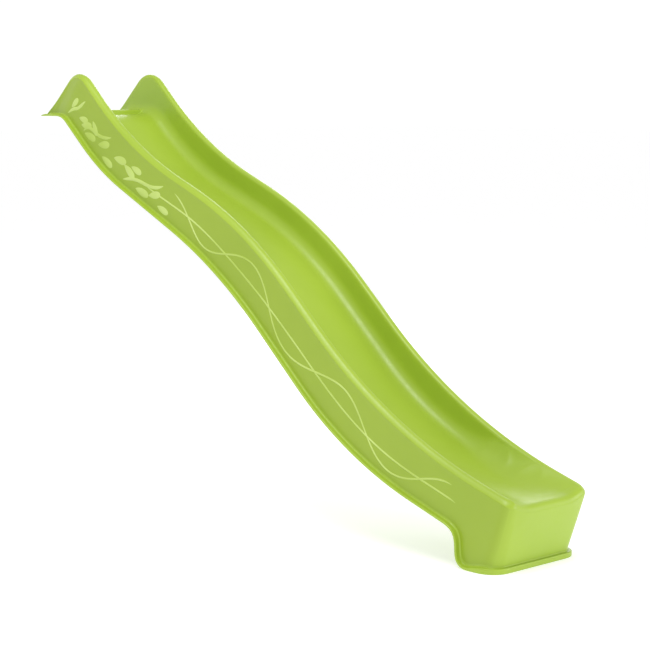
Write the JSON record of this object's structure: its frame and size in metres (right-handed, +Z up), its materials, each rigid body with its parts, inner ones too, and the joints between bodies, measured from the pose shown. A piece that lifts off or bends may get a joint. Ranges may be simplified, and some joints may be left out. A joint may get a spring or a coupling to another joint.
{
  "type": "playground slide",
  "caption": "Straight wave slide for a 1.5 m platform: high side walls, open underside, dished run-out, leaning foot apron and screws for the platform.",
  "frame": {"origin": "on the ground, on the middle plane, 5 mm behind the front edge of the foot's sole", "axes": "+X down the slide, away from the platform; +Y to the left of a child who slides down; +Z up"},
  "size_m": [2.5949, 0.456, 1.6717],
  "materials": {
    "moulding": "moulded polyethylene, semi-gloss, slightly translucent",
    "caps": "moulded polyethylene, satin",
    "fixings": "zinc plated steel"
  },
  "bodies": {
    "root": {"entry_plate": "moulding", "slide_bed": "moulding", "run_out": "moulding", "foot_apron": "moulding", "left_wall": "moulding", "right_wall": "moulding", "left_foot": "moulding", "right_foot": "moulding", "screw_cap_bases": "caps", "screw_caps": "caps", "screw_washers": "fixings", "platform_screws": "fixings"}
  },
  "joints": []
}
